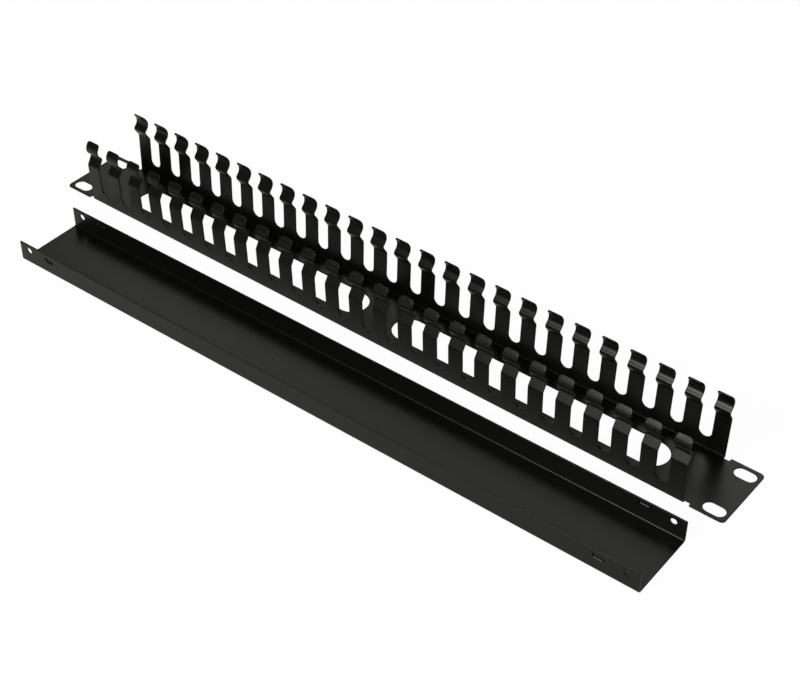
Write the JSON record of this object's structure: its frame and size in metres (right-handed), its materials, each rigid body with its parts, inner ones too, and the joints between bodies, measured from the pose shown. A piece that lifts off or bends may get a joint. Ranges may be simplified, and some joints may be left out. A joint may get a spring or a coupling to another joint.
{
  "type": "horizontal cable manager",
  "caption": "Rack panel folded into a duct with two rows of slotted spring fingers and two long cable openings, with its channel cover lying beside it.",
  "frame": {"origin": "middle of the panel's rear face, the face that meets the rack, at the centre of the four rack slots", "axes": "+X along the panel's length, +Y across the panel from the row beside the loose cover to the far row, +Z out of the panel along the fingers"},
  "size_m": [0.4826, 0.1154, 0.0439],
  "materials": {
    "black_powder_coated_steel": "fine-textured semi-matte black powder coat"
  },
  "bodies": {
    "root": {"finger_duct": "black_powder_coated_steel", "cover": "black_powder_coated_steel"}
  },
  "joints": []
}
